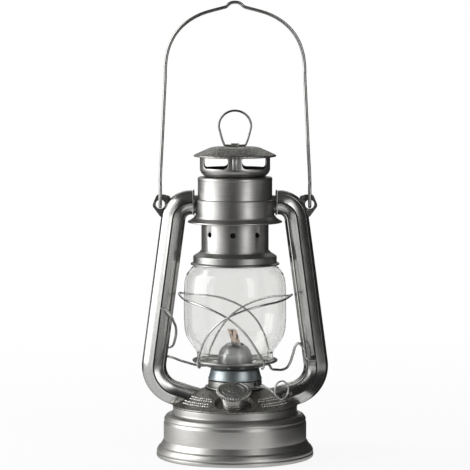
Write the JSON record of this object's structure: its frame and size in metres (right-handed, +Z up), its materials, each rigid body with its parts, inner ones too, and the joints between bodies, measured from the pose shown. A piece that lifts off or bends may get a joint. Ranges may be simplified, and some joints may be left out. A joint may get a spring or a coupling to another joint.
{
  "type": "hurricane lantern",
  "caption": "Tubular hurricane lantern: round fuel tank, side tubes, glass globe in a wire guard, hood, sliding chimney, wick burner and swinging bail.",
  "frame": {"origin": "middle of the foot on the surface the lantern stands on", "axes": "+Z up through the globe and chimney, X across the two side tubes, -Y towards the filler cap at the front"},
  "size_m": [0.153, 0.129, 0.374],
  "materials": {
    "tank_wall": "satin brushed zinc-plated steel",
    "tank_bottom": "satin zinc-plated steel",
    "tank_lid": "plain zinc-plated steel",
    "air_dome": "pressed steel with a fine hammered grain",
    "filler_neck": "threaded steel",
    "filler_gasket": "matt rubber",
    "filler_cap": "pressed steel with a knurled rim",
    "burner_collar": "plain brass",
    "burner_seat": "plain steel ring",
    "burner_base": "bluish bright zinc",
    "burner_gallery": "bluish bright zinc",
    "wick_tube": "plain brass",
    "wick": "woven cotton",
    "wick_shaft": "bright drawn wire",
    "wick_wheels": "stamped brass",
    "globe_plate": "perforated steel with a rolled rim",
    "burner_dome": "grey satin steel",
    "globe": "clear glass",
    "guard_wires": "bright drawn wire",
    "lift_lever": "bright drawn wire",
    "lever_eyes": "bent steel strip",
    "side_tubes": "polished dark steel",
    "tube_collars": "polished dark steel",
    "bail_ears": "dark stamped steel",
    "bail": "drawn steel wire",
    "hood": "satin brushed zinc-plated steel",
    "hood_skirt": "satin zinc-plated steel",
    "chimney": "satin brushed zinc-plated steel",
    "draft_tube": "plain steel",
    "globe_collar": "satin steel with a rolled lip",
    "chimney_spring": "spring wire",
    "crown": "satin steel",
    "cap": "pressed steel with a fine hammered grain",
    "ring_strap": "bent steel strip",
    "lid_ring": "drawn steel wire"
  },
  "bodies": {
    "frame": {"tank_wall": "tank_wall", "tank_bottom": "tank_bottom", "tank_lid": "tank_lid", "air_dome": "air_dome", "filler_neck": "filler_neck", "burner_collar": "burner_collar", "burner_seat": "burner_seat", "burner_base": "burner_base", "burner_gallery": "burner_gallery", "wick_tube": "wick_tube", "lever_eye_left": "lever_eyes", "lever_eye_right": "lever_eyes", "side_tube_left": "side_tubes", "side_tube_right": "side_tubes", "tube_collar_left": "tube_collars", "tube_collar_right": "tube_collars", "bail_ear_left": "bail_ears", "bail_ear_right": "bail_ears", "hood": "hood", "hood_skirt": "hood_skirt", "chimney_spring": "chimney_spring"},
    "bail": {"bail": "bail"},
    "globe_carriage": {"globe_plate": "globe_plate", "burner_dome": "burner_dome", "globe": "globe", "guard_wire_left": "guard_wires", "guard_wire_right": "guard_wires"},
    "chimney": {"chimney": "chimney", "draft_tube": "draft_tube", "globe_collar": "globe_collar", "crown": "crown", "cap": "cap", "ring_strap": "ring_strap"},
    "lid_ring": {"lid_ring": "lid_ring"},
    "lift_lever": {"lift_lever": "lift_lever"},
    "wick_shaft": {"wick_shaft": "wick_shaft", "wick_wheel_left": "wick_wheels", "wick_wheel_right": "wick_wheels"},
    "wick": {"wick": "wick"},
    "filler_gasket": {"filler_gasket": "filler_gasket"},
    "filler_cap": {"filler_cap": "filler_cap"}
  },
  "joints": [
    {"name": "bail_swing", "type": "hinge", "parent": "frame", "child": "bail", "pos_m": [0, 0, 0.21285], "axis": [1, 0, 0], "range_deg": [-155, 150]},
    {"name": "globe_lift", "type": "slide", "parent": "frame", "child": "globe_carriage", "axis": [0, 0, 1], "range_m": [0, 0.01072]},
    {"name": "lever_turn", "type": "hinge", "parent": "frame", "child": "lift_lever", "pos_m": [0, 0, 0.0805], "axis": [0.9833, -0.1822, 0], "range_deg": [0, 24]},
    {"name": "chimney_slide", "type": "slide", "parent": "globe_carriage", "child": "chimney", "axis": [0, 0, 1], "range_m": [0, 0.012], "stiffness_N_per_m": 250, "springref_m": -0.012, "deforming": ["chimney_spring"]},
    {"name": "ring_swing", "type": "hinge", "parent": "chimney", "child": "lid_ring", "pos_m": [0, 0, 0.255], "axis": [1, 0, 0], "range_deg": [-90, 90]},
    {"name": "wick_turn", "type": "hinge", "parent": "frame", "child": "wick_shaft", "pos_m": [-0.00263, -0.00517, 0.0586], "axis": [0.891, -0.454, 0], "range_deg": [-164, 41]},
    {"name": "wick_slide", "type": "slide", "parent": "frame", "child": "wick", "axis": [0, 0, 1], "range_m": [-0.012, 0.003]},
    {"name": "filler_rise", "type": "slide", "parent": "frame", "child": "filler_gasket", "axis": [0, -0.3907, 0.9205], "range_m": [0, 0.006]},
    {"name": "filler_turn", "type": "hinge", "parent": "filler_gasket", "child": "filler_cap", "pos_m": [-0.0012, -0.0375, 0.0469], "axis": [0, -0.3907, 0.9205], "range_deg": [0, 1080]}
  ],
  "couplings": [
    {"joint": "lever_turn", "follows": "globe_lift", "rad_per_m": 39.062},
    {"joint": "wick_turn", "follows": "wick_slide", "rad_per_m": 238.09},
    {"joint": "filler_rise", "follows": "filler_turn", "m_per_rad": 0.000318}
  ]
}
